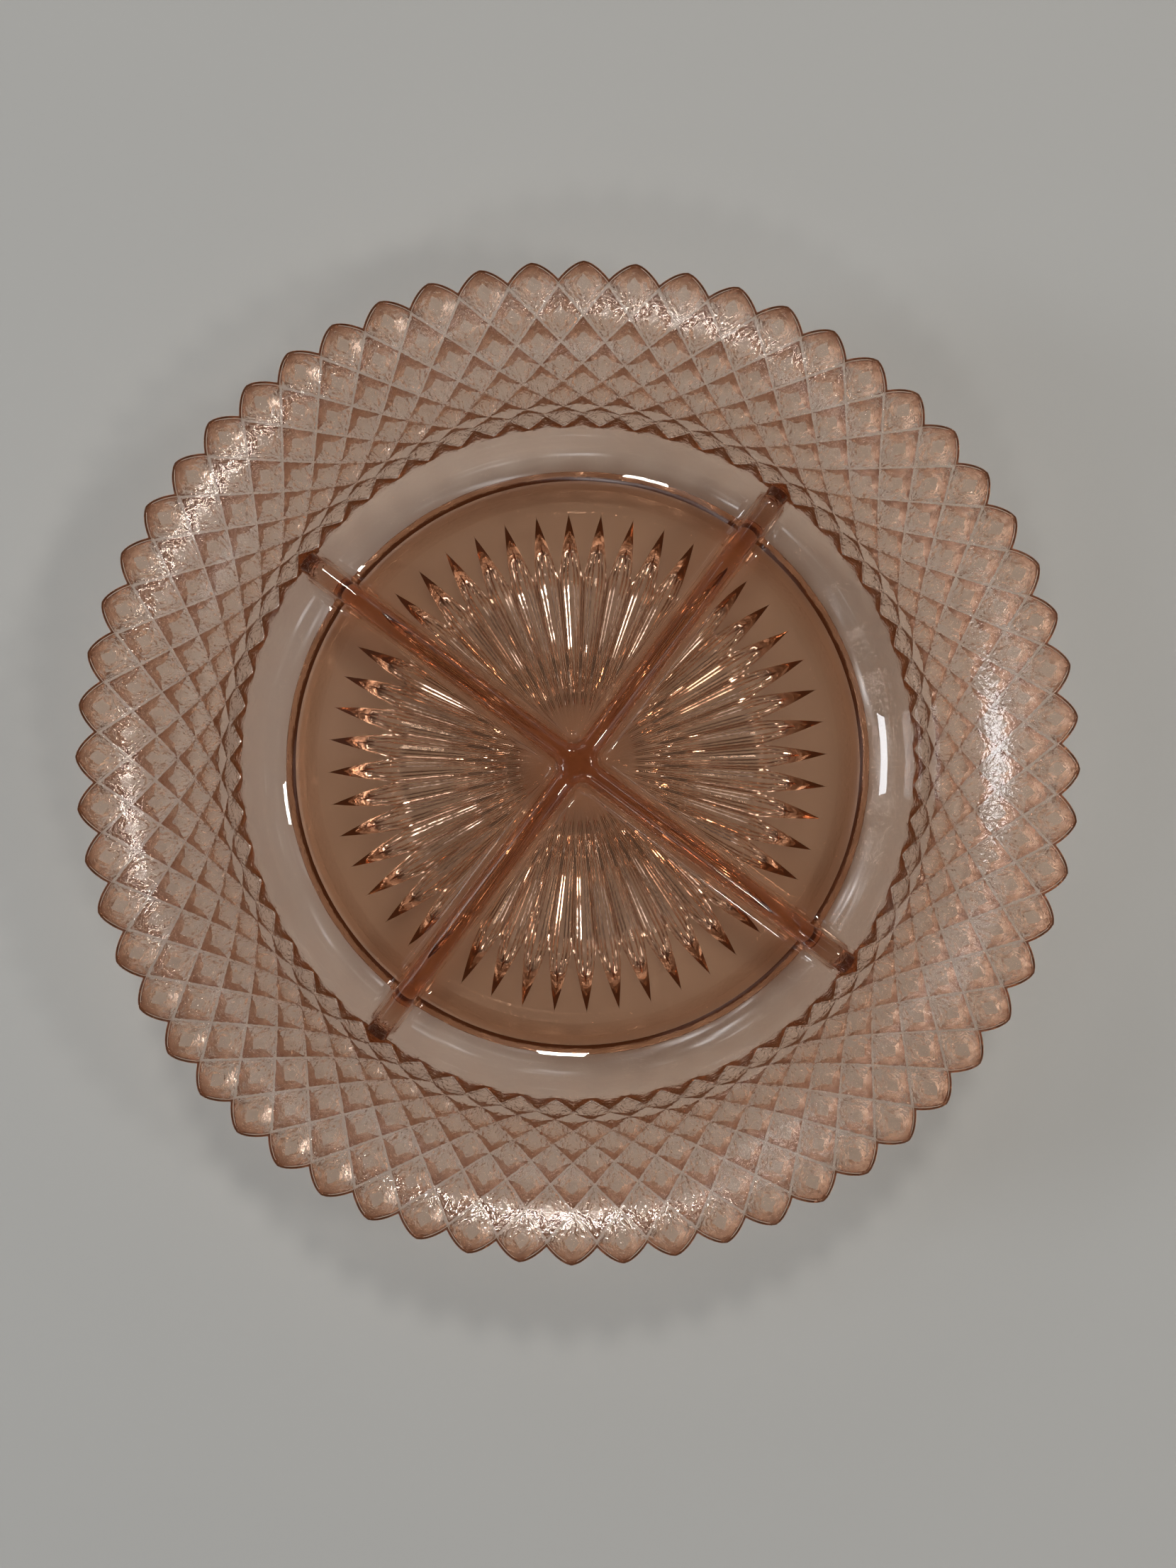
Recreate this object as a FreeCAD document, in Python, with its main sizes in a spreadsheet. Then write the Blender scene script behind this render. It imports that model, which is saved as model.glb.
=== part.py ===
"""A round four-part glass relish dish, pressed in one piece.

The pressing is drawn as the features that a glassmaker names: the sunburst floor, the foot ring,
the panelled wall, the diamond rim with its teeth, and the cross of dividers.
Millimetres and degrees, +Z up, origin on the axis at the plane that the foot stands on.
The first divider points along +X, and a rim tooth and a panel edge lie on the same line.
"""
import FreeCAD, Part
import math
import os
import Sketcher
from FreeCAD import Placement, Rotation, Vector

os.makedirs("parts", exist_ok=True)
doc = FreeCAD.newDocument("relish_dish")

# Driving dimensions
DIMS = {
    # the bowl, measured on its smooth inner face
    "rim_radius": 111.1,
    "rim_height": 51.3,
    "rim_slope": 16,
    "flare_radius": 38.2,
    "wall_straight": 3,
    "cove_radius": 16,
    "floor_top": 7,
    # glass thicknesses
    "floor_thickness": 5.2,
    "wall_thickness": 3.2,
    "tip_edge": 1.6,
    # the diamond rim
    "tooth_count": 60,
    "notch_depth": 3.4,
    "row_count": 8,
    "row_shrink": 0.913,
    "relief_share": 0.44,
    "band_bottom": 18.5,
    # the plain wall
    "panel_count": 40,
    "panel_steps": 6,
    # the foot
    "foot_width": 8.1,
    "foot_batter": 1.5,
    "contact_width": 2.6,
    "foot_rounding": 0.7,
    # the sunburst under the floor
    "ray_count": 48,
    "ray_margin": 3.1,
    "ray_point": 16.6,
    "ray_depth": 2.0,
    "ray_land": 0.15,
    "ray_turn": 1.3,
    # the dividers
    "divider_count": 4,
    "divider_height": 17,
    "divider_base": 8,
    "divider_crown": 2.8,
    "hub_reach": 10,
    "hub_fillet": 3,
}
dims = doc.addObject("Spreadsheet::Sheet", "dims")
for row, (name, value) in enumerate(DIMS.items(), start=1):
    dims.set(f"A{row}", name)
    dims.set(f"B{row}", str(value))
    dims.setAlias(f"B{row}", name)
doc.recompute()

# Dimensions that follow from the driving ones: the wall leans as far as its height asks for,
# and the floor is what the wall leaves of the rim's radius
DERIVED = {
    "arc_sum": "dims.flare_radius + dims.cove_radius",
    "rise": "dims.rim_height - dims.floor_top",
    "wall_slope": "acos((dims.cove_radius + dims.flare_radius * cos(dims.rim_slope * 1 deg) - derived.rise)"
                  " / sqrt(derived.arc_sum ^ 2 + dims.wall_straight ^ 2)) / 1 deg"
                  " - atan(dims.wall_straight / derived.arc_sum) / 1 deg",
    "floor_radius": "dims.rim_radius + dims.flare_radius * sin(dims.rim_slope * 1 deg)"
                    " - derived.arc_sum * sin(derived.wall_slope * 1 deg)"
                    " - dims.wall_straight * cos(derived.wall_slope * 1 deg)",
    "underside": "dims.floor_top - dims.floor_thickness",
    "foot_radius": "derived.floor_radius + dims.foot_width",
    "cove_centre": "dims.floor_top + dims.cove_radius",
    "outer_cove": "dims.cove_radius + dims.wall_thickness",
    "foot_seat": "derived.cove_centre - sqrt(derived.outer_cove ^ 2 - dims.foot_width ^ 2)",
    "divider_top": "dims.floor_top + dims.divider_height",
}
derived = doc.addObject("App::VarSet", "derived")
for name, formula in DERIVED.items():
    derived.addProperty("App::PropertyFloat", name)
    derived.setExpression(name, formula)
doc.recompute()

CLEAR = 5.0


def plane(body, role):
    """The origin plane of a body that has the given role"""
    return next(item for item in body.Origin.OriginFeatures if item.Role == role)


def new_sketch(body, name, role):
    """An empty sketch on one of the body's own origin planes"""
    sketch = body.newObject("Sketcher::SketchObject", name)
    sketch.AttachmentSupport = (plane(body, role), [""])
    sketch.MapMode = "FlatFace"
    return sketch


def bind(sketch, constraint, formula):
    """Add a dimension to a sketch and tie its value to the driving dimensions"""
    number = sketch.addConstraint(constraint)
    sketch.setExpression(f"Constraints[{number}]", formula)


def outline(sketch, corners):
    """A closed polygon whose corners are given as a pair of formulas each"""
    spots = [Vector(*(derived.evalExpression(f) for f in pair), 0) for pair in corners]
    count = len(spots)
    for here in range(count):
        sketch.addGeometry(Part.LineSegment(spots[here], spots[(here + 1) % count]))
    for here in range(count):
        sketch.addConstraint(Sketcher.Constraint("Coincident", here, 2, (here + 1) % count, 1))
    for here, (across, up) in enumerate(corners):
        bind(sketch, Sketcher.Constraint("DistanceX", -1, 1, here, 1, spots[here].x), across)
        bind(sketch, Sketcher.Constraint("DistanceY", -1, 1, here, 1, spots[here].y), up)


def revolve(body, sketch):
    """Turn a section once round the dish's axis"""
    turn = body.newObject("PartDesign::Revolution", "turn")
    turn.Profile = sketch
    turn.ReferenceAxis = (sketch, ["V_Axis"])
    turn.Angle = 360
    return turn


def polar(radius, height, degrees):
    """A point from its radius, height and angle round the axis"""
    angle = math.radians(degrees)
    return Vector(radius * math.cos(angle), radius * math.sin(angle), height)


def closed_solid(faces):
    """One solid from the corner lists of its flat faces"""
    flat = [Part.Face(Part.makePolygon(corners + corners[:1])) for corners in faces]
    shell = Part.Compound(flat)
    shell.sewShape()
    solid = Part.Solid(shell.Shells[0])
    if solid.Volume < 0:
        solid.reverse()
    return solid


def cut(name, base, tool):
    """The base with the tool taken out of it"""
    result = doc.addObject("Part::Cut", name)
    result.Base = base
    result.Tool = tool
    return result


# The hollow of the bowl: flat floor, hollow cove, short straight wall and the flare to the rim
def make_hollow():
    body = doc.addObject("PartDesign::Body", "hollow")
    sketch = new_sketch(body, "hollow_section", "XZ_Plane")
    lean = math.radians(derived.wall_slope)
    tip_lean = math.radians(dims.rim_slope)
    cove = Vector(derived.floor_radius, derived.cove_centre, 0)
    flare = Vector(
        dims.rim_radius + dims.flare_radius * math.sin(tip_lean),
        dims.rim_height - dims.flare_radius * math.cos(tip_lean), 0)
    normal = Vector(math.sin(lean), -math.cos(lean), 0)
    low = cove + normal * dims.cove_radius
    high = flare - normal * dims.flare_radius
    tip = Vector(dims.rim_radius, dims.rim_height, 0)
    edge = Vector(derived.floor_radius, dims.floor_top, 0)
    wide = Vector(dims.rim_radius + CLEAR, dims.rim_height, 0)
    lid = Vector(0, CLEAR, 0)
    axis = Vector(0, 0, 1)
    cove_arc = Part.ArcOfCircle(Part.Circle(cove, axis, dims.cove_radius), -math.pi / 2, lean - math.pi / 2)
    flare_arc = Part.ArcOfCircle(Part.Circle(flare, axis, dims.flare_radius),
                                 math.pi / 2 + tip_lean, math.pi / 2 + lean)
    centre = Vector(0, dims.floor_top, 0)
    top = Vector(0, dims.rim_height + CLEAR, 0)
    for item in (Part.LineSegment(centre, edge), cove_arc, Part.LineSegment(low, high), flare_arc,
                 Part.LineSegment(tip, wide), Part.LineSegment(wide, wide + lid),
                 Part.LineSegment(wide + lid, top), Part.LineSegment(top, centre)):
        sketch.addGeometry(item)
    add = Sketcher.Constraint
    sketch.addConstraint([
        add("Tangent", 0, 2, 1, 1), add("Tangent", 1, 2, 2, 1), add("Tangent", 2, 2, 3, 2),
        add("Coincident", 3, 1, 4, 1), add("Coincident", 4, 2, 5, 1), add("Coincident", 5, 2, 6, 1),
        add("Coincident", 6, 2, 7, 1), add("Coincident", 7, 2, 0, 1),
        add("Horizontal", 0), add("Horizontal", 4), add("Vertical", 5), add("Horizontal", 6),
        add("PointOnObject", 0, 1, -2), add("PointOnObject", 6, 2, -2)])
    bind(sketch, add("DistanceY", -1, 1, 0, 1, centre.y), "dims.floor_top")
    bind(sketch, add("Radius", 1, dims.cove_radius), "dims.cove_radius")
    bind(sketch, add("Radius", 3, dims.flare_radius), "dims.flare_radius")
    bind(sketch, add("Distance", 2, 1, 2, 2, dims.wall_straight), "dims.wall_straight")
    bind(sketch, add("DistanceX", -1, 1, 3, 1, tip.x), "dims.rim_radius")
    bind(sketch, add("DistanceY", -1, 1, 3, 1, tip.y), "dims.rim_height")
    sketch.addConstraint(add("DistanceX", 4, 1, 4, 2, CLEAR))
    sketch.addConstraint(add("DistanceY", 5, 1, 5, 2, CLEAR))
    revolve(body, sketch)
    return body


def groove_point(run):
    """A point on the groove bottoms of the outer face, a given way down from the rim's end.

    The outer face lies one wall thickness outside the hollow, so its flare is a tighter arc
    and its cove a wider one. Returns the radius, the height and the slope in radians.
    """
    thick = dims.wall_thickness
    tip_lean = math.radians(dims.rim_slope)
    lean = math.radians(derived.wall_slope)
    tight = dims.flare_radius - thick
    flare_run = tight * (lean - tip_lean)
    if run < flare_run:
        slope = tip_lean + run / tight
        across = dims.rim_radius + dims.flare_radius * math.sin(tip_lean) - tight * math.sin(slope)
        up = dims.rim_height - dims.flare_radius * math.cos(tip_lean) + tight * math.cos(slope)
        return across, up, slope
    left = run - flare_run
    cove_run = max(left - dims.wall_straight, 0)
    slope = lean - cove_run / derived.outer_cove
    rest = dims.wall_straight - min(left, dims.wall_straight)
    across = derived.floor_radius + derived.outer_cove * math.sin(slope) + rest * math.cos(lean)
    up = derived.cove_centre - derived.outer_cove * math.cos(slope) + rest * math.sin(lean)
    return across, up, slope


def run_to(reached):
    """The way down the outer face at which a test of the groove point first holds"""
    low, high = 0.0, dims.rim_height * 2
    for _ in range(60):
        middle = (low + high) / 2
        low, high = (low, middle) if reached(groove_point(middle)) else (middle, high)
    return high


# The diamond rim: staggered rows of four-sided pyramids that end in the teeth
def diamond_rows():
    """Radius, height and slope where the grooves cross, from the notches to the lower zigzag"""
    start = run_to(lambda point: point[0] <= dims.rim_radius - dims.notch_depth)
    end = run_to(lambda point: point[1] <= dims.band_bottom)
    rows = int(dims.row_count)
    shares = [dims.row_shrink ** row for row in range(rows)]
    return [groove_point(start + (end - start) * sum(shares[:row]) / sum(shares)) for row in range(rows + 1)]


def make_diamond_rim(hollow):
    levels = diamond_rows()
    rows = int(dims.row_count)
    teeth = int(dims.tooth_count)
    half = 180 / teeth
    ceiling = dims.rim_height + CLEAR / 2
    tip_height = dims.rim_height - dims.tip_edge
    faces = []
    for tooth in range(teeth):
        axis = tooth * 2 * half
        tip = polar(dims.rim_radius, tip_height, axis)
        for row in range(rows):
            centre = axis + (row % 2) * half
            radius, height, slope = levels[row]
            bump = dims.relief_share * math.radians(half) * radius
            peak = polar(radius + bump * math.sin(slope), height - bump * math.cos(slope), centre)
            above = polar(*levels[row - 1][:2], centre) if row else tip
            below = polar(*levels[row + 1][:2], centre)
            left = polar(radius, height, centre - half)
            right = polar(radius, height, centre + half)
            ring = [above, left, below, right, above]
            faces += [[ring[n], ring[n + 1], peak] for n in range(4)]
        foot = [polar(*levels[rows][:2], axis + side * half) for side in (-1, 1)]
        faces.append([polar(*levels[rows - 1][:2], axis)] + foot)
        for side in (-1, 1):
            notch = polar(*levels[0][:2], axis + side * half)
            rise = [Vector(point.x, point.y, ceiling) for point in (tip, notch)]
            faces.append([notch, tip] + rise)
    star = []
    for tooth in range(teeth):
        star.append(polar(dims.rim_radius, ceiling, tooth * 2 * half))
        star.append(polar(levels[0][0], ceiling, (tooth * 2 + 1) * half))
    faces.append(star)
    faces.append([polar(*levels[rows][:2], (tooth * 2 + 1) * half) for tooth in range(teeth)])
    blank = doc.addObject("Part::Feature", "rim_blank")
    blank.Shape = closed_solid(faces)
    return cut("diamond_rim", blank, hollow)


# The plain wall: flat panels round the cove, from the foot up to the diamond band
def make_panel_wall(hollow):
    steps = int(dims.panel_steps)
    top = "acos((derived.cove_centre - dims.band_bottom) / derived.outer_cove)"
    bottom = "asin(dims.foot_width / derived.outer_cove)"
    rings = []
    for step in range(steps + 1):
        slope = f"({bottom} + ({top} - {bottom}) * {step} / {steps})"
        ring = doc.addObject("Part::RegularPolygon", f"panel_ring_{step}")
        ring.setExpression("Polygon", "dims.panel_count")
        ring.setExpression(
            "Circumradius",
            f"(derived.floor_radius + derived.outer_cove * sin({slope})) / cos(180 deg / dims.panel_count)")
        ring.setExpression(
            "Placement.Base.z", f"derived.cove_centre - derived.outer_cove * cos({slope})")
        rings.append(ring)
    blank = doc.addObject("Part::Loft", "wall_blank")
    blank.Sections = rings
    blank.Solid = True
    blank.Ruled = True
    core = doc.addObject("Part::Cylinder", "floor_core")
    core.setExpression("Radius", "derived.floor_radius")
    core.setExpression("Height", "dims.rim_height")
    return cut("panel_wall", cut("wall_shell", blank, hollow), core)


# The foot: a ring with battered sides that stands on a narrow flat
def make_foot_ring():
    body = doc.addObject("PartDesign::Body", "foot_ring")
    sketch = new_sketch(body, "foot_section", "XZ_Plane")
    outer = "derived.foot_radius - dims.foot_batter"
    outline(sketch, [
        ("derived.floor_radius", "derived.foot_seat"),
        ("derived.floor_radius", "derived.underside"),
        (f"{outer} - dims.contact_width", "0"),
        (outer, "0"),
        ("derived.foot_radius", "derived.foot_seat")])
    turn = revolve(body, sketch)
    doc.recompute()
    rounding = body.newObject("PartDesign::Fillet", "contact_rounding")
    lowest = [f"Edge{number}" for number, edge in enumerate(turn.Shape.Edges, start=1)
              if edge.BoundBox.ZMax < 0.01]
    rounding.Base = (turn, lowest)
    rounding.setExpression("Radius", "dims.foot_rounding")
    return body


# The floor: a disc with a sunburst of V-cut rays in its underside
def make_floor_disc():
    disc = doc.addObject("Part::Cylinder", "floor_blank")
    disc.setExpression("Radius", "derived.floor_radius")
    disc.setExpression("Height", "dims.floor_thickness")
    disc.setExpression("Placement.Base.z", "derived.underside")
    rays = int(dims.ray_count)
    point = derived.floor_radius - dims.ray_margin
    shoulder = point - dims.ray_point
    half = shoulder * math.tan(math.pi / rays) - dims.ray_land / 2
    start = dims.ray_land / 2 / math.sin(math.pi / rays)
    under = derived.underside
    corners = [Vector(start, 0, under), Vector(shoulder, -half, under),
               Vector(point, 0, under), Vector(shoulder, half, under)]
    keel = Vector(shoulder, 0, under + dims.ray_depth)
    sides = [[corners[n], corners[(n + 1) % 4], keel] for n in range(4)]
    ray = closed_solid(sides + [corners])
    sunburst = doc.addObject("Part::Feature", "sunburst")
    turns = [dims.ray_turn + number * 360 / rays for number in range(rays)]
    sunburst.Shape = Part.Compound([ray.rotated(Vector(), Vector(0, 0, 1), turn) for turn in turns])
    return cut("floor_disc", disc, sunburst)


# The dividers: round-topped ridges that run from the hub to the wall
def ridge_section(sketch):
    """The cross-section of a ridge: flat base, leaning sides and a round crown"""
    half = dims.divider_base / 2
    crown = dims.divider_crown
    base = dims.floor_top
    centre = Vector(0, derived.divider_top - crown, 0)
    reach = math.hypot(half, centre.y - base)
    lean = math.acos(crown / reach) - math.atan2(centre.y - base, half)
    touch = Vector(crown * math.cos(lean), crown * math.sin(lean), 0) + centre
    opposite = Vector(-touch.x, touch.y, 0)
    left = Vector(-half, base, 0)
    right = Vector(half, base, 0)
    arc = Part.ArcOfCircle(Part.Circle(centre, Vector(0, 0, 1), crown), lean, math.pi - lean)
    for item in (Part.LineSegment(left, right), Part.LineSegment(right, touch), arc,
                 Part.LineSegment(opposite, left)):
        sketch.addGeometry(item)
    add = Sketcher.Constraint
    sketch.addConstraint([
        add("Coincident", 0, 2, 1, 1), add("Tangent", 1, 2, 2, 1), add("Tangent", 2, 2, 3, 1),
        add("Coincident", 3, 2, 0, 1), add("Symmetric", 0, 1, 0, 2, -2), add("PointOnObject", 2, 3, -2)])
    bind(sketch, add("DistanceX", 0, 1, 0, 2, half * 2), "dims.divider_base")
    bind(sketch, add("DistanceY", -1, 1, 0, 1, base), "dims.floor_top")
    bind(sketch, add("Radius", 2, crown), "dims.divider_crown")
    bind(sketch, add("DistanceY", -1, 1, 2, 3, centre.y), "derived.divider_top - dims.divider_crown")


def ridge(body, name, role, length):
    """A ridge that is pushed out from one of the body's upright planes"""
    sketch = new_sketch(body, f"{name}_section", role)
    ridge_section(sketch)
    pad = body.newObject("PartDesign::Pad", name)
    pad.Profile = sketch
    pad.setExpression("Length", length)
    return sketch, pad


def make_dividers(hollow):
    count = int(dims.divider_count)
    dividers = []
    for number in range(count):
        body = doc.addObject("PartDesign::Body", f"ridge_{number + 1}")
        sketch, _ = ridge(body, "arm", "YZ_Plane", "dims.rim_radius")
        sketch.setExpression("AttachmentOffset.Base.z", "dims.hub_reach")
        arm = doc.addObject("Part::Common", f"divider_{number + 1}")
        arm.Base = body
        arm.Tool = hollow
        arm.Placement = Placement(Vector(), Rotation(Vector(0, 0, 1), number * 360 / count))
        dividers.append(arm)
    return dividers


def make_hub():
    body = doc.addObject("PartDesign::Body", "divider_hub")
    for name, role in (("arm_along", "YZ_Plane"), ("arm_across", "XZ_Plane")):
        _, pad = ridge(body, name, role, "2 * dims.hub_reach")
        pad.SideType = "Symmetric"
    doc.recompute()
    corner = [f"Edge{number}" for number, edge in enumerate(pad.Shape.Edges, start=1)
              if is_inner_corner(edge)]
    web = body.newObject("PartDesign::Fillet", "corner_webs")
    web.Base = (pad, corner)
    web.setExpression("Radius", "dims.hub_fillet")
    return body


def is_inner_corner(edge):
    """Whether an edge is where two ridges meet in the crook of the cross"""
    ends = [vertex.Point for vertex in edge.Vertexes]
    level = max(point.z for point in ends) - min(point.z for point in ends)
    return level > 1 and all(abs(abs(point.x) - abs(point.y)) < 0.01 for point in ends)


hollow = make_hollow()
nodes = [make_floor_disc(), make_foot_ring(), make_panel_wall(hollow), make_diamond_rim(hollow),
         make_hub(), *make_dividers(hollow)]
for node in nodes:
    node.Label = node.Name
doc.recompute()

for item in doc.Objects:
    if "Invalid" in item.State or "Error" in item.State:
        raise RuntimeError(f"{item.Name} did not build: {item.State}")
for node in nodes:
    if node.Shape.isNull() or not node.Shape.isValid():
        raise RuntimeError(f"{node.Label} has no valid shape")
for node in nodes:
    node.Shape.exportStep(f"parts/{node.Label}.step")
    box = node.Shape.optimalBoundingBox(False)
    print(f"{node.Label}: {len(node.Shape.Solids)} solid, {node.Shape.Volume:.0f} mm3,"
          f" z {box.ZMin:.2f} to {box.ZMax:.2f}, x {box.XMin:.2f} to {box.XMax:.2f}")
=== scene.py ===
import math
import bmesh
import bpy
import numpy as np
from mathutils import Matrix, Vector


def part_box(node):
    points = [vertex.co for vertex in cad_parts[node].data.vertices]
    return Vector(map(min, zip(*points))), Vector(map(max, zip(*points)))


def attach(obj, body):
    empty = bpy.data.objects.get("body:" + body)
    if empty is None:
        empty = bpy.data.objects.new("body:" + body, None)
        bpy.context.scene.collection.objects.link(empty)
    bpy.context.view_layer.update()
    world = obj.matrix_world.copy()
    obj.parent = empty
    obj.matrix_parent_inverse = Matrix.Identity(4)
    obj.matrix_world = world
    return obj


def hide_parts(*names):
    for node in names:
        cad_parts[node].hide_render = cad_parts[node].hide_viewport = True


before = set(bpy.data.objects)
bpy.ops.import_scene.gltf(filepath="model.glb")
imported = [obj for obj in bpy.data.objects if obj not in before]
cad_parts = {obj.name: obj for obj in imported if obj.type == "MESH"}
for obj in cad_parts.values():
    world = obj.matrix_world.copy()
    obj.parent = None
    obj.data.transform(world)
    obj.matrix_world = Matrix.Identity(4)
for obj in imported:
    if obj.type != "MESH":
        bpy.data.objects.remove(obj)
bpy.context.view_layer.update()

# The hollow
# The smooth inner face of the bowl, left by the plunger: a flat floor, a hollow cove, a short
# straight wall and the flare that runs out to the rim. Lengths here are in millimetres.
MM = 0.001


def reach(node, corner, axis):
    """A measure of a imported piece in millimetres: which corner of its box, and along which axis"""
    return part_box(node)[corner][axis] / MM


LOW, HIGH = 0, 1
rim_radius = reach("diamond_rim", HIGH, 0)
rim_height = reach("diamond_rim", HIGH, 2)
floor_top = reach("floor_disc", HIGH, 2)
floor_radius = reach("floor_disc", HIGH, 0)
rim_lean = math.radians(16)
flare_radius = 38.2
cove_radius = 16.0
wall_straight = 3.0
wall_thickness = 3.2

flare_centre = np.array([rim_radius + flare_radius * math.sin(rim_lean),
                         rim_height - flare_radius * math.cos(rim_lean)])
cove_centre = np.array([floor_radius, floor_top + cove_radius])
apart = flare_centre - cove_centre
wall_lean = (math.atan2(apart[1], apart[0])
             + math.atan2(flare_radius + cove_radius, wall_straight))
along = np.array([math.cos(wall_lean), math.sin(wall_lean)])
flare_run = (flare_radius - wall_thickness) * (wall_lean - rim_lean)


def wall_point(run, depth=0.0):
    """Radius, height and lean of the wall, a given way down from the rim and a depth into it"""
    run = np.asarray(run, float)
    on_flare = run < flare_run
    past = np.maximum(run - flare_run, 0)
    on_cove = np.maximum(past - wall_straight, 0)
    lean = np.where(on_flare, rim_lean + run / (flare_radius - wall_thickness),
                    wall_lean - on_cove / (cove_radius + wall_thickness))
    rest = wall_straight - np.minimum(past, wall_straight)
    flare = flare_radius - depth
    cove = cove_radius + depth
    radius = np.where(on_flare, flare_centre[0] - flare * np.sin(lean),
                      cove_centre[0] + cove * np.sin(lean) + rest * along[0])
    height = np.where(on_flare, flare_centre[1] + flare * np.cos(lean),
                      cove_centre[1] - cove * np.cos(lean) + rest * along[1])
    return radius, height, lean


def flare_height(radius, depth=0.0):
    """Height and lean of the flare at a radius, a depth into the glass"""
    lean = np.arcsin((flare_centre[0] - radius) / (flare_radius - depth))
    return flare_centre[1] + (flare_radius - depth) * np.cos(lean), lean


def above_hollow(radius, height):
    """How far a point stands clear of the hollow's surface"""
    from_cove = np.stack([radius - cove_centre[0], height - cove_centre[1]])
    up_wall = from_cove[0] * along[0] + from_cove[1] * along[1]
    floor = height - floor_top
    cove = cove_radius - np.hypot(*from_cove)
    straight = cove_radius - from_cove[0] * along[1] + from_cove[1] * along[0]
    flare = np.hypot(radius - flare_centre[0], height - flare_centre[1]) - flare_radius
    low = np.where(radius < floor_radius, floor, cove)
    return np.where(up_wall < 0, low, np.where(up_wall < wall_straight, straight, flare))


class Skin:
    """The closed surface of the pressing, gathered ring by ring, with how grainy each point is"""

    def __init__(self):
        self.points = []
        self.faces = []
        self.grain = []
        self.count = 0

    def add(self, points, grain=0.0):
        points = np.asarray(points, float).reshape(-1, 3)
        self.points.append(points)
        self.grain.append(np.full(len(points), grain))
        self.count += len(points)
        return np.arange(self.count - len(points), self.count)

    def ring(self, angles, radii, heights, grain=0.0):
        """A ring of points about the axis"""
        angles, radii, heights = np.broadcast_arrays(angles, radii, heights)
        return self.add(np.stack([radii * np.cos(angles), radii * np.sin(angles), heights], 1), grain)

    def bridge(self, ring, other):
        """Four-sided faces between two rings of as many points"""
        self.faces += np.stack([ring, np.roll(ring, -1), np.roll(other, -1), other], 1).tolist()

    def zip_up(self, ring, other):
        """Triangles between two rings whose numbers of points differ"""
        placed = np.concatenate(self.points)
        turns = []
        for item in (ring, other):
            turn = np.unwrap(np.arctan2(placed[item, 1], placed[item, 0]))
            turns.append(np.append(turn, turn[0] + 2 * math.pi))
        here = there = 0
        while here < len(ring) or there < len(other):
            a, b = ring[here % len(ring)], other[there % len(other)]
            step_here = there == len(other) or (
                here < len(ring) and turns[0][here + 1] <= turns[1][there + 1])
            if step_here:
                here += 1
                self.faces.append([a, ring[here % len(ring)], b])
            else:
                there += 1
                self.faces.append([a, other[there % len(other)], b])

    def join(self, ring, other):
        """Faces between two rings, whatever their numbers of points"""
        if len(ring) == len(other):
            self.bridge(ring, other)
        else:
            self.zip_up(ring, other)


skin = Skin()

# The dividers
# Four round-topped ridges that cross at a flat hub and run out to the wall, where they sink into
# it. They are the same glass as the floor, so their feet and the crooks of the hub are rounded.
ridge_top = reach("divider_hub", HIGH, 2)
crown = 2.7
ridge_half = 3.7
foot_rounding = 1.7
end_rounding = 2.0
hub_rounding = 3.0
# how high a ridge may stand over the hollow, at three radii on its way up the wall
end_places = [74.0, 81.0, 85.0]
end_heights = [ridge_top - floor_top, 1.4, -end_rounding]
crown_height = ridge_top - crown
ridge_rise = crown_height - floor_top
ridge_lean = (math.acos(crown / math.hypot(ridge_half, ridge_rise))
              - math.atan2(ridge_rise, ridge_half))


def above_ridge(aside, height):
    """How far a point stands clear of an endless ridge"""
    aside, up = np.abs(aside), height - crown_height
    over = up * math.cos(ridge_lean) - aside * math.sin(ridge_lean) > 0
    side = aside * math.cos(ridge_lean) + up * math.sin(ridge_lean) - crown
    return np.where(over, np.hypot(aside, up) - crown, side)


def blended(one, other, rounding):
    """The nearer of two distances, with a hollow fillet where the two surfaces meet"""
    one_in = np.maximum(rounding - one, 0)
    other_in = np.maximum(rounding - other, 0)
    return np.maximum(np.minimum(one, other), rounding) - np.hypot(one_in, other_in)


def clear_of_glass(spots):
    """How far points stand clear of the whole inner face, dividers and fillets included"""
    x, y, z = spots.T
    radius = np.hypot(x, y)
    hollow = above_hollow(radius, z)
    ridges = blended(above_ridge(y, z), above_ridge(x, z), hub_rounding)
    ridges = np.maximum(ridges, z - ridge_top)
    ridges = np.maximum(ridges, hollow - np.interp(radius, end_places, end_heights))
    up_cove = np.clip((radius - floor_radius) / (cove_radius * 0.8), 0, 1)
    rounding = foot_rounding + (end_rounding - foot_rounding) * up_cove
    return blended(ridges, hollow, rounding)


def settle(spots, tries=12, nudge=1e-3):
    """Move points the shortest way on to the inner face"""
    for _ in range(tries):
        clear = clear_of_glass(spots)
        slope = np.stack([(clear_of_glass(spots + step) - clear_of_glass(spots - step)) / (2 * nudge)
                          for step in np.eye(3) * nudge], 1)
        spots = spots - slope * (clear / np.maximum((slope ** 2).sum(1), 0.2))[:, None]
    return spots


# lines that run along a ridge: over its crown, down its side, round its foot
crown_turns = np.radians([0, 20, 40, 60, 78])
side_drops = np.array([0.04, 0.2, 0.38, 0.56, 0.72, 0.84, 0.93])
side_start = np.array([crown * math.cos(ridge_lean), crown_height + crown * math.sin(ridge_lean)])
side_end = np.array([ridge_half, floor_top])
foot_steps = np.array([0.0, 0.7, 1.5, 2.4])
asides = np.concatenate([crown * np.sin(crown_turns),
                         side_start[0] + (side_end[0] - side_start[0]) * side_drops,
                         ridge_half + foot_steps])
levels = np.concatenate([crown_height + crown * np.cos(crown_turns),
                         side_start[1] + (side_end[1] - side_start[1]) * side_drops,
                         np.full(len(foot_steps), floor_top)])
lines = len(asides) - 1
fill_lines = 10
eighth = lines + fill_lines

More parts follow.
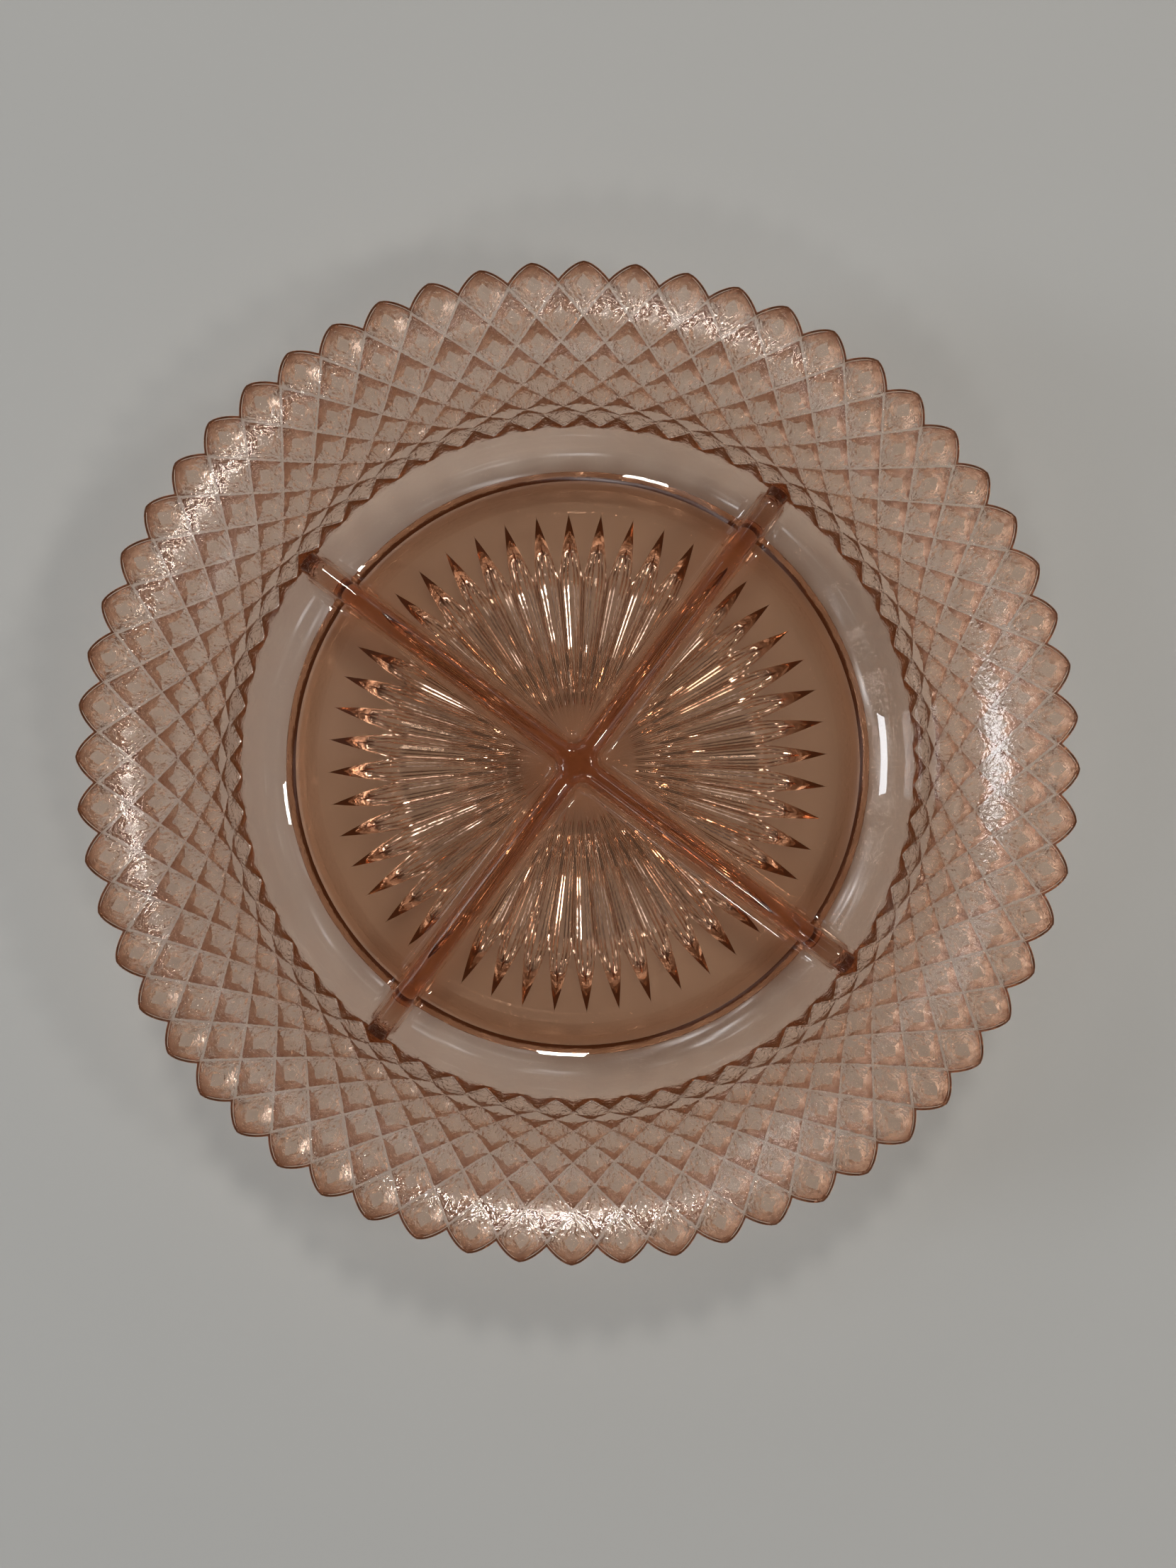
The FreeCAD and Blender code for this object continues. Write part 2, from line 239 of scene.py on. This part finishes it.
# the hub, inside the outermost of those lines
patch = np.arange(-lines, lines + 1)
across, lengthwise = np.meshgrid(patch, patch, indexing="ij")
hub = np.stack([np.sign(across) * asides[abs(across)],
                np.sign(lengthwise) * asides[abs(lengthwise)],
                levels[np.minimum(abs(across), abs(lengthwise))]], 2)
hub_numbers = skin.add(settle(hub.reshape(-1, 3))).reshape(across.shape)
for a in range(2 * lines):
    for b in range(2 * lines):
        skin.faces.append([hub_numbers[a, b], hub_numbers[a + 1, b],
                           hub_numbers[a + 1, b + 1], hub_numbers[a, b + 1]])
square = np.concatenate([hub_numbers[-1, lines:-1], hub_numbers[:0:-1, -1], hub_numbers[0, :0:-1],
                         hub_numbers[:-1, 0], hub_numbers[-1, :lines]])


def station(radius, height):
    """A ring that follows the ridges' lines where it crosses them"""
    start = math.asin(asides[-1] / radius)
    fill = start + (math.pi / 4 - start) * np.arange(1, fill_lines + 1) / fill_lines
    turn = np.concatenate([np.arcsin(asides / radius), fill])
    level = np.concatenate([np.maximum(levels, height), np.full(fill_lines, height)])
    turn = np.concatenate([turn, math.pi / 2 - turn[-2:0:-1]])
    level = np.concatenate([level, level[-2:0:-1]])
    turns = np.concatenate([turn + quarter * math.pi / 2 for quarter in range(4)])
    return np.stack([radius * np.cos(turns), radius * np.sin(turns), np.tile(level, 4)], 1)


cove_end = (cove_radius + wall_thickness) * wall_lean + wall_straight + flare_run
first_radius = asides[-1] * 1.55
floor_radii = [first_radius, 11.5, 15, 21, 28, 36, 44, 52, 59, 64, floor_radius]
floor_rings = [(radius, floor_top) for radius in floor_radii]
ridge_run = 27.0
wall_steps = 25
wall_runs = np.linspace(cove_end, ridge_run, wall_steps + 1)[1:]
wall_rings = [wall_point(run)[:2] for run in wall_runs]
ring = None
for radius, height in floor_rings + wall_rings:
    spots = station(float(radius), float(height))
    fresh = skin.add(settle(spots))
    if ring is None:
        for octant in range(8):
            outer = np.take(fresh, np.arange(octant * eighth, (octant + 1) * eighth + 1), mode="wrap")
            inner = np.take(square, np.arange(octant * lines, (octant + 1) * lines + 1), mode="wrap")
            if octant % 2:
                outer, inner = outer[::-1], inner[::-1]
            for n in range(lines):
                skin.faces.append([inner[n], inner[n + 1], outer[n + 1], outer[n]])
            for n in range(lines, eighth):
                skin.faces.append([inner[-1], outer[n + 1], outer[n]])
    else:
        skin.bridge(ring, fresh)
    ring = fresh

# The diamond rim
# Eight staggered rows of four-sided pyramids with small flat points, cut in the mould so that they
# stand out of the outer face. The fire polish softens their ridges. The top row ends in teeth,
# and the two lowest rows are shallow.
teeth = 60
rows = 8
row_shrink = 0.913
cuts = 8
notch_depth = 3.4
relief = 0.5
row_relief = [1, 1, 1, 1, 1, 1.25, 0.6, 0.5]
last_row_shifts = [0, -1.0, 1.2]
top_thinning = 0.9
tip_edge = 1.6
groove_half = 0.06
flat_point = 0.3
point_rounding = 0.25
ridge_rounding = 0.08
tooth_arch = 1.6
edge_rounding = 0.4
columns = teeth * 2 * cuts
column_turn = 2 * math.pi / columns
band_bottom = reach("diamond_rim", LOW, 2)


def run_at(measure, value):
    """The way down the outer face at which one of its measures falls to a value"""
    runs = np.linspace(0, cove_end, 4001)
    found = wall_point(runs, wall_thickness)[measure]
    return float(np.interp(-value, -found, runs))


notch_radius = rim_radius - notch_depth
band_start = run_at(0, notch_radius)
band_end = run_at(1, band_bottom)


def row_run(row):
    """The way down the face at a level of the lattice, whose rows shrink towards the foot"""
    run = band_start + (band_end - band_start) * (1 - row_shrink ** row) / (1 - row_shrink ** rows)
    return run + np.interp(row, [rows - 2, rows - 1, rows], last_row_shifts)


def pyramid(one, other):
    """Height of a pyramid over the grooves, as a share, from the distances off its two middles"""
    one, other = np.abs(one), np.abs(other)
    off = np.maximum(one, other)
    rounding = point_rounding * (1 - off) + ridge_rounding
    off = off + np.maximum(rounding - np.abs(one - other), 0) ** 2 / (4 * rounding)
    return np.clip((1 - groove_half - off) / (1 - groove_half - flat_point), 0, 1)


# each side of a pyramid is cut closer together near the grooves, which keeps them crisp
cut_places = np.array([0, groove_half / 2, 0.19, 0.35, 0.5, 0.65, 0.81, 1 - groove_half / 2])
keys = []
for down in range(-cuts, rows * cuts + 1):
    for column in range(columns):
        off_tooth = abs((column + cuts) % (2 * cuts) - cuts)
        above_notches = off_tooth - down > cuts and down < 0
        below_zigzag = down > rows * cuts - cuts + off_tooth
        if (column + down) % 2 == 0 and not above_notches and not below_zigzag:
            keys.append((column, down))
column_of, down_of = np.array(keys).T
rising = (column_of + down_of + cuts) // 2
falling = (column_of - down_of + cuts) // 2
rising, falling = (n // cuts + cut_places[n % cuts] for n in (rising, falling))
place = rising - falling
share = pyramid(rising % 1 * 2 - 1, falling % 1 * 2 - 1)
row_of = np.floor(rising) - np.floor(falling)
share = share * np.interp(row_of, range(rows), row_relief)
turn = (rising + falling - 1) * cuts * column_turn
groove_depth = wall_thickness - top_thinning * (1 - np.maximum(place, 0) / rows)
radius, height, lean = wall_point(row_run(np.maximum(place, 0)), groove_depth)
out = np.maximum(-place, 0)
tooth_radius = notch_radius + notch_depth * (1 - (1 - out) ** tooth_arch)
tooth_thickness = groove_depth - (groove_depth - tip_edge) * out ** 1.5
tooth_height, tooth_lean = flare_height(tooth_radius, tooth_thickness)
on_tooth = place < 0
radius = np.where(on_tooth, tooth_radius, radius)
height = np.where(on_tooth, tooth_height, height)
lean = np.where(on_tooth, tooth_lean, lean)
bump = relief * share * math.pi / teeth * radius
radius_out = radius + bump * np.sin(lean)
height_out = height - bump * np.cos(lean)
numbers = skin.ring(turn, radius_out, height_out, 1.0)
lattice = dict(zip(keys, numbers))
for tooth in range(teeth):
    for row in range(rows):
        middle = tooth * 2 * cuts + (row % 2) * cuts
        for i in range(cuts):
            for j in range(cuts):
                corners = [lattice[(middle + a + b - cuts) % columns, row * cuts - a + b]
                           for a, b in ((i, j), (i + 1, j), (i + 1, j + 1), (i, j + 1))]
                # each cell is split the way that the pyramid's ridges run
                on_ridge = (i < cuts / 2) == (j < cuts / 2)
                split = ((0, 1, 2), (0, 2, 3)) if on_ridge else ((0, 1, 3), (1, 2, 3))
                skin.faces += [[corners[n] for n in triangle] for triangle in split]
every = np.arange(columns)
turns = every * column_turn
off_tooth = np.abs((every + cuts) % (2 * cuts) - cuts)
tooth_edge = np.array([lattice[c, off_tooth[c] - cuts] for c in every])
zigzag = np.array([lattice[c, rows * cuts - cuts + off_tooth[c]] for c in every])
edge_place = cuts * np.interp(off_tooth, np.arange(cuts + 1), np.append(cut_places, 1))
past_tooth = np.where((every + cuts) % (2 * cuts) > cuts, 1, -1)
zigzag_turns = turns + past_tooth * (edge_place - off_tooth) * column_turn

# The rim's edge
# The narrow face round the teeth, between the smooth flare and the cut pattern. The fire polish
# leaves it round, so it is drawn as two quarter turns with a short upright face between them.
so_far = np.concatenate(skin.points)
outline_radius = notch_radius + notch_depth * (1 - (edge_place / cuts) ** tooth_arch)
outline = outline_radius[:, None] * np.stack([np.cos(zigzag_turns), np.sin(zigzag_turns)], 1)
onward = np.roll(outline, -1, 0) - np.roll(outline, 1, 0)
outward = np.stack([onward[:, 1], -onward[:, 0]], 1)
outward /= np.linalg.norm(outward, axis=1)[:, None]
under = so_far[tooth_edge, 2]
quarter_parts = (0.0, 0.3, 0.65, 1.0)


def quarter_turn(part):
    """How far in and how far down a rounded edge is, a part of the way round it"""
    angle = part * math.pi / 2
    return edge_rounding * (1 - math.sin(angle)), edge_rounding * (1 - math.cos(angle))


loops = []
for part in quarter_parts:
    inset, drop = quarter_turn(part)
    at = outline - outward * inset
    top, _ = flare_height(np.hypot(*at.T))
    loops.append((at, top - drop))
for part in quarter_parts[:0:-1]:
    inset, drop = quarter_turn(part)
    loops.append((outline - outward * inset, under + drop))
edge_loops = [skin.add(np.column_stack([at, level])) for at, level in loops]
for upper, lower in zip(edge_loops, edge_loops[1:]):
    skin.bridge(upper, lower)
skin.bridge(edge_loops[-1], tooth_edge)
lower_edge = so_far[tooth_edge]
lower_edge[:, :2] = outline - outward * edge_rounding

# the flare, from the dividers' rings out to the teeth
flare_grain = 0.25
few_turns = np.arange(columns // 2) * 2 * column_turn
for run in np.linspace(ridge_run - 2, band_start + 7, 8):
    radius, height, _ = wall_point(run)
    fresh = skin.ring(few_turns, radius, height, flare_grain)
    skin.join(ring, fresh)
    ring = fresh
near_radius = float(wall_point(band_start + 5.5)[0])
top_edge = loops[0][0]
target = np.hypot(*top_edge.T)
target_turn = np.arctan2(top_edge[:, 1], top_edge[:, 0]) % (2 * math.pi)
drift = (target_turn - turns + math.pi) % (2 * math.pi) - math.pi
for part in (0.0, 0.35, 0.7):
    radii = near_radius + (target - near_radius) * part
    fresh = skin.ring(turns + drift * part, radii, flare_height(radii)[0], flare_grain)
    skin.join(ring, fresh)
    ring = fresh
skin.bridge(ring, edge_loops[0])

# The panelled wall
# Forty flat panels round the outside of the cove. The diamonds end above them in a zigzag that
# stands a little proud, so its edge shows as a line.
panels = 40
zigzag_step = 1.6
step_lean = 0.12
panel_hollow = 0.25
panel_depth = wall_thickness - 0.5
wall_grain = 0.35
panel_turn = 2 * math.pi / panels
off_panel = (turns % panel_turn) - panel_turn / 2
flatness = 1 / np.cos(off_panel)
bead = panel_hollow * np.abs(off_panel / (panel_turn / 2)) ** 4
foot_radius = reach("foot_ring", HIGH, 0)
zigzag_run = row_run(rows - 1 + edge_place / cuts)
wall_end = run_at(0, foot_radius + 1.2)
level_run = band_end + 2.8
ring = zigzag
for part in (0.0, 0.35, 0.7, 1.0):
    start = zigzag_run + step_lean
    depth = wall_thickness - zigzag_step + (panel_depth - wall_thickness + zigzag_step) * part
    radius, height, _ = wall_point(start + (level_run - start) * part, depth)
    straighter_turns = zigzag_turns + (turns - zigzag_turns) * part
    fresh = skin.ring(straighter_turns, radius * flatness, height, wall_grain)
    skin.bridge(ring, fresh)
    ring = fresh
for run in np.linspace(level_run, wall_end, 9)[1:]:
    radius, height, _ = wall_point(run, panel_depth)
    fresh = skin.ring(turns, radius * flatness + bead - panel_hollow / 2, height, wall_grain)
    skin.bridge(ring, fresh)
    ring = fresh

# The foot ring
# A low ring under the cove, with leaning sides, rounded edges and a narrow flat that the dish
# stands on. Its root is rounded into the panels outside and into the floor inside.
foot_inner = floor_radius
side_lean = 1.5
contact_width = 2.6
root_step = (0.3, 1.1)
floor_margin = 2.2
foot_roundings = [0.9, 0.5, 0.35, 0.5]
foot_grain = 0.2
panel_fade = 5
contact_outer = foot_radius - side_lean
contact_inner = contact_outer - contact_width
underside = reach("floor_disc", LOW, 2)
root_radius, root_height = (float(value) for value in wall_point(wall_end, panel_depth)[:2])


def rounded(corners, roundings, steps=4):
    """A line through corners, each of them but the ends rounded off by an arc"""
    line = [np.array(corners[0], float)]
    for before, corner, after, rounding in zip(corners, corners[1:], corners[2:], roundings):
        before, corner, after = (np.array(p, float) for p in (before, corner, after))
        inward = (before - corner) / np.linalg.norm(before - corner)
        outward_way = (after - corner) / np.linalg.norm(after - corner)
        half = math.acos(np.clip(inward @ outward_way, -1, 1)) / 2
        middle = (inward + outward_way) / np.linalg.norm(inward + outward_way)
        centre = corner + middle * rounding / math.sin(half)
        start = corner + inward * rounding / math.tan(half) - centre
        end = corner + outward_way * rounding / math.tan(half) - centre
        sweep = math.pi - 2 * half
        for step in range(steps + 1):
            part = step / steps
            line.append(centre + (start * math.sin((1 - part) * sweep)
                                  + end * math.sin(part * sweep)) / math.sin(sweep))
    line.append(np.array(corners[-1], float))
    return line


foot_line = rounded(
    [(root_radius, root_height), (foot_radius - root_step[0], root_height - root_step[1]),
     (contact_outer, 0), (contact_inner, 0), (foot_inner, underside),
     (foot_inner - floor_margin, underside)],
    foot_roundings)
few_flat = flatness[::2]
for number, (radius, height) in enumerate(foot_line[1:]):
    fade = max(0.0, 1 - number / panel_fade)
    fresh = skin.ring(few_turns, radius * (1 + (few_flat - 1) * fade), height, foot_grain)
    skin.join(ring, fresh)
    ring = fresh

# The sunburst
# Forty-eight V-shaped rays cut in the underside of the floor. Each runs from the middle, widens
# until it nearly meets its neighbours, and then narrows evenly to a sharp tip. Fine flutes run
# along its flanks.
rays = 48
ray_turn = math.radians(1.3)
ray_tip = floor_radius - 3.1
ray_shoulder = ray_tip - 16.6
ray_depth = 2.0
ray_steepness = 1.1
land = 0.97
flutes = 3
flute_height = 0.12
burst_grain = 0.03
centre_grain = 0.15
sector = 2 * math.pi / rays
flank = np.arange(2 * flutes + 1) / (2 * flutes)
ripple = np.where(np.arange(2 * flutes + 1) % 2, 1, -1) * flute_height
ripple[[0, -1]] = 0
tip_steps = np.array([0.01, 0.06, 0.14, 0.25, 0.36, 0.48, 0.6, 0.72, 0.86])
middle_steps = np.array([1, 0.92, 0.83, 0.73, 0.62, 0.5, 0.38, 0.26, 0.16, 0.09, 0.04])
burst_radii = [ray_tip + 0.3, *(ray_tip - tip_steps * (ray_tip - ray_shoulder)),
               *(ray_shoulder * middle_steps)]
for radius in burst_radii:
    grown = np.clip((ray_tip - radius) / (ray_tip - ray_shoulder), 0.003, 1)
    edge_turn = sector / 2 * land * grown
    depth = min(ray_depth, edge_turn * radius * ray_steepness) * min(1, radius / ray_shoulder)
    half = np.array([*(edge_turn * flank), (edge_turn + sector / 2) / 2, sector / 2])
    deep = np.array([*(depth * (1 - flank) + ripple * depth * max(0, 2 * grown - 1)), 0, 0])
    if radius > ray_tip:
        deep = deep * 0
    whole_ray = np.concatenate([half, sector - half[-2:0:-1]])
    deep = np.concatenate([deep, deep[-2:0:-1]])
    around = np.concatenate([whole_ray + ray_turn + n * sector for n in range(rays)])
    fresh = skin.ring(around, radius, underside + np.tile(deep, rays), burst_grain)
    skin.join(ring, fresh)
    ring = fresh
centre_point = skin.add([[0, 0, underside]], centre_grain)[0]
for n, number in enumerate(ring):
    skin.faces.append([number, ring[(n + 1) % len(ring)], centre_point])

# The pressing
# All of the faces above are one piece of glass, so they make one closed mesh. It stands for
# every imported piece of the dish.
points = np.concatenate(skin.points)
points[tooth_edge] = lower_edge
mesh = bpy.data.meshes.new("relish_dish")
mesh.from_pydata((points * MM).tolist(), [], [list(map(int, face)) for face in skin.faces])
grain = mesh.attributes.new("grain", "FLOAT", "POINT")
grain.data.foreach_set("value", np.concatenate(skin.grain))
sharp_underneath = math.radians(20)
sharp_elsewhere = math.radians(32)
glass_shape = bmesh.new()
glass_shape.from_mesh(mesh)
bmesh.ops.recalc_face_normals(glass_shape, faces=glass_shape.faces)
open_edges = [edge for edge in glass_shape.edges if len(edge.link_faces) != 2]
for edge in glass_shape.edges:
    under_floor = all(vertex.co.z < floor_top * MM and math.hypot(*vertex.co[:2]) < floor_radius * MM
                      for vertex in edge.verts)
    edge.smooth = edge.calc_face_angle() < (sharp_underneath if under_floor else sharp_elsewhere)
print("points", len(glass_shape.verts), "faces", len(glass_shape.faces),
      "open edges", len(open_edges))
glass_shape.to_mesh(mesh)
glass_shape.free()
mesh.polygons.foreach_set("use_smooth", [True] * len(mesh.polygons))
dish = bpy.data.objects.new("relish_dish", mesh)
bpy.context.scene.collection.objects.link(dish)
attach(dish, "root")
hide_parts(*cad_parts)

# The pink glass
# Clear glass tinted all through, so that it is pale where it is thin and orange-brown where it
# is thick. The mould leaves a fine grain on the cut faces, and the plunger a smooth inside.
TINT = (0.86, 0.62, 0.42, 1)
TINT_DENSITY = 130
FACE_TINT = (0.98, 0.91, 0.86, 1)
SHADOW_TINT = (0.2, 0.195, 0.185, 1)
INNER_GLOW = (1.0, 0.4, 0.14, 1)


class Shade:
    """A socket in a material: arithmetic on it adds Math nodes"""

    def __init__(self, tree, socket=None):
        self.tree = tree
        self.socket = socket

    def make(self, kind, settings=None, inputs=None, output=0):
        """Add a node: its settings are set first, then its sockets are filled or linked"""
        node = self.tree.nodes.new(kind)
        for name, value in (settings or {}).items():
            setattr(node, name, value)
        for name, value in (inputs or {}).items():
            if isinstance(value, Shade):
                self.tree.links.new(value.socket, node.inputs[name])
            else:
                node.inputs[name].default_value = value
        return Shade(self.tree, node.outputs[output] if node.outputs else None)

    def math(self, operation, one, other):
        return self.make("ShaderNodeMath", {"operation": operation}, {0: one, 1: other})

    def __add__(self, other):
        return self.math("ADD", self, other)

    def __sub__(self, other):
        return self.math("SUBTRACT", self, other)

    def __rsub__(self, other):
        return self.math("SUBTRACT", other, self)

    def __mul__(self, other):
        return self.math("MULTIPLY", self, other)

    __radd__ = __add__
    __rmul__ = __mul__


def new_material(name):
    """An empty material and the start of its shading"""
    material = bpy.data.materials.new(name)
    material.use_nodes = True
    material.node_tree.nodes.clear()
    return material, Shade(material.node_tree)


glass, shade = new_material("pink_glass")
where = shade.make("ShaderNodeTexCoord", output=3)
grained = shade.make("ShaderNodeAttribute", {"attribute_name": "grain"}, output=2)
stipple = shade.make("ShaderNodeTexNoise", inputs={"Vector": where, "Scale": 900, "Detail": 3})
waves = shade.make("ShaderNodeTexNoise", inputs={"Vector": where, "Scale": 90, "Detail": 1})
relief_map = stipple * grained * 2.2 + waves * 0.25
fine_relief = shade.make("ShaderNodeBump", inputs={
    "Strength": 0.6, "Distance": 0.0004, "Height": relief_map})
# the trace of glow stands for light caught by more inner reflections than are followed
body = shade.make("ShaderNodeBsdfPrincipled", inputs={
    "Base Color": FACE_TINT, "Roughness": stipple * 0.03 * grained + 0.005, "IOR": 1.52,
    "Transmission Weight": 1.0, "Normal": fine_relief,
    "Emission Color": INNER_GLOW, "Emission Strength": 0.009})
tint = shade.make("ShaderNodeVolumeAbsorption", inputs={"Color": TINT, "Density": TINT_DENSITY})
# lamplight passes straight through, so the dish casts a soft tinted shadow
lamplight = shade.make("ShaderNodeBsdfTransparent", inputs={"Color": SHADOW_TINT})
from_lamp = shade.make("ShaderNodeLightPath", output="Is Shadow Ray")
faces_and_shadow = shade.make("ShaderNodeMixShader", inputs={0: from_lamp, 1: body, 2: lamplight})
shade.make("ShaderNodeOutputMaterial", inputs={"Surface": faces_and_shadow, "Volume": tint})
mesh.materials.append(glass)

# The studio
# A plain pale grey floor under the dish, soft lamps and a dim sky, whose few soft bright patches
# stand for the rest of a lit room, for the glass to mirror. In view the sky is a plain grey.
floor_mesh = bpy.data.meshes.new("floor")
floor_size = 6.0
floor_gap = 0.0003
floor_corners = [(x * floor_size / 2, y * floor_size / 2, -floor_gap)
                 for x, y in ((-1, -1), (1, -1), (1, 1), (-1, 1))]
floor_mesh.from_pydata(floor_corners, [], [(0, 1, 2, 3)])
floor = bpy.data.objects.new("floor", floor_mesh)
bpy.context.scene.collection.objects.link(floor)
paint, shade = new_material("floor_paint")
matt = shade.make("ShaderNodeBsdfPrincipled", inputs={
    "Base Color": (0.385, 0.385, 0.375, 1), "Roughness": 0.8})
shade.make("ShaderNodeOutputMaterial", inputs={"Surface": matt})
floor_mesh.materials.append(paint)

world = bpy.data.worlds.new("sky")
world.use_nodes = True
world.node_tree.nodes.clear()
shade = Shade(world.node_tree)
way = shade.make("ShaderNodeTexCoord")
upward = shade.make("ShaderNodeSeparateXYZ", inputs={"Vector": way}, output=2)
steepness = upward.math("MAXIMUM", upward, 0.0)
patches = shade.make("ShaderNodeTexNoise", inputs={"Vector": way, "Scale": 4.0, "Detail": 1})
room_lights = (patches * 1.75).math("POWER", patches * 1.75, 12)
glow = room_lights * steepness * (1 - steepness * steepness) * 1.3 + 0.025
in_view = shade.make("ShaderNodeLightPath", output="Is Camera Ray")
strength = glow * (1 - in_view) + in_view * 0.385
air = shade.make("ShaderNodeBackground", inputs={"Color": (0.97, 0.98, 1.0, 1), "Strength": strength})
shade.make("ShaderNodeOutputWorld", inputs={"Surface": air})
bpy.context.scene.world = world


def lamp(name, place, size, power, colour):
    """A square soft light that faces the middle of the dish"""
    data = bpy.data.lights.new(name, "AREA")
    data.shape = "SQUARE"
    data.size = size
    data.energy = power
    data.color = colour
    item = bpy.data.objects.new(name, data)
    item.location = place
    item.rotation_euler = Vector(place).to_track_quat("Z", "Y").to_euler()
    bpy.context.scene.collection.objects.link(item)


lamp("window", (-0.75, 0.95, 0.62), 0.32, 5, (0.88, 0.94, 1.0))
lamp("far_lamp", (0.6, 0.4, 1.05), 0.12, 4.2, (1.0, 0.94, 0.86))
lamp("near_lamp", (0.0, -0.75, 1.1), 0.12, 2.5, (1.0, 0.94, 0.86))
lamp("side_lamp", (0.6, -0.6, 1.05), 0.12, 2.4, (1.0, 0.96, 0.9))
lamp("back_lamp", (-0.7, -0.3, 1.1), 0.12, 1.9, (1.0, 0.96, 0.9))

# The camera
# It looks straight down the dish's axis from a forearm's length above the rim, as in the
# photograph, where the first divider points up and to the right.
camera_height = rim_height + 262
photo_long_side = 2212
focal_pixels = 1674
dish_left_of_middle = 14.5
dish_above_middle = 29.5
turn_about_axis = 53.3
camera = bpy.data.cameras.new("camera")
camera.sensor_width = 36
camera.lens = focal_pixels / photo_long_side * camera.sensor_width
camera.shift_x = dish_left_of_middle / photo_long_side
camera.shift_y = -dish_above_middle / photo_long_side
viewer = bpy.data.objects.new("camera", camera)
viewer.location = (0, 0, camera_height * MM)
viewer.rotation_euler = (0, 0, -math.radians(turn_about_axis))
bpy.context.scene.collection.objects.link(viewer)
bpy.context.scene.camera = viewer
bpy.context.scene.view_settings.view_transform = "Standard"
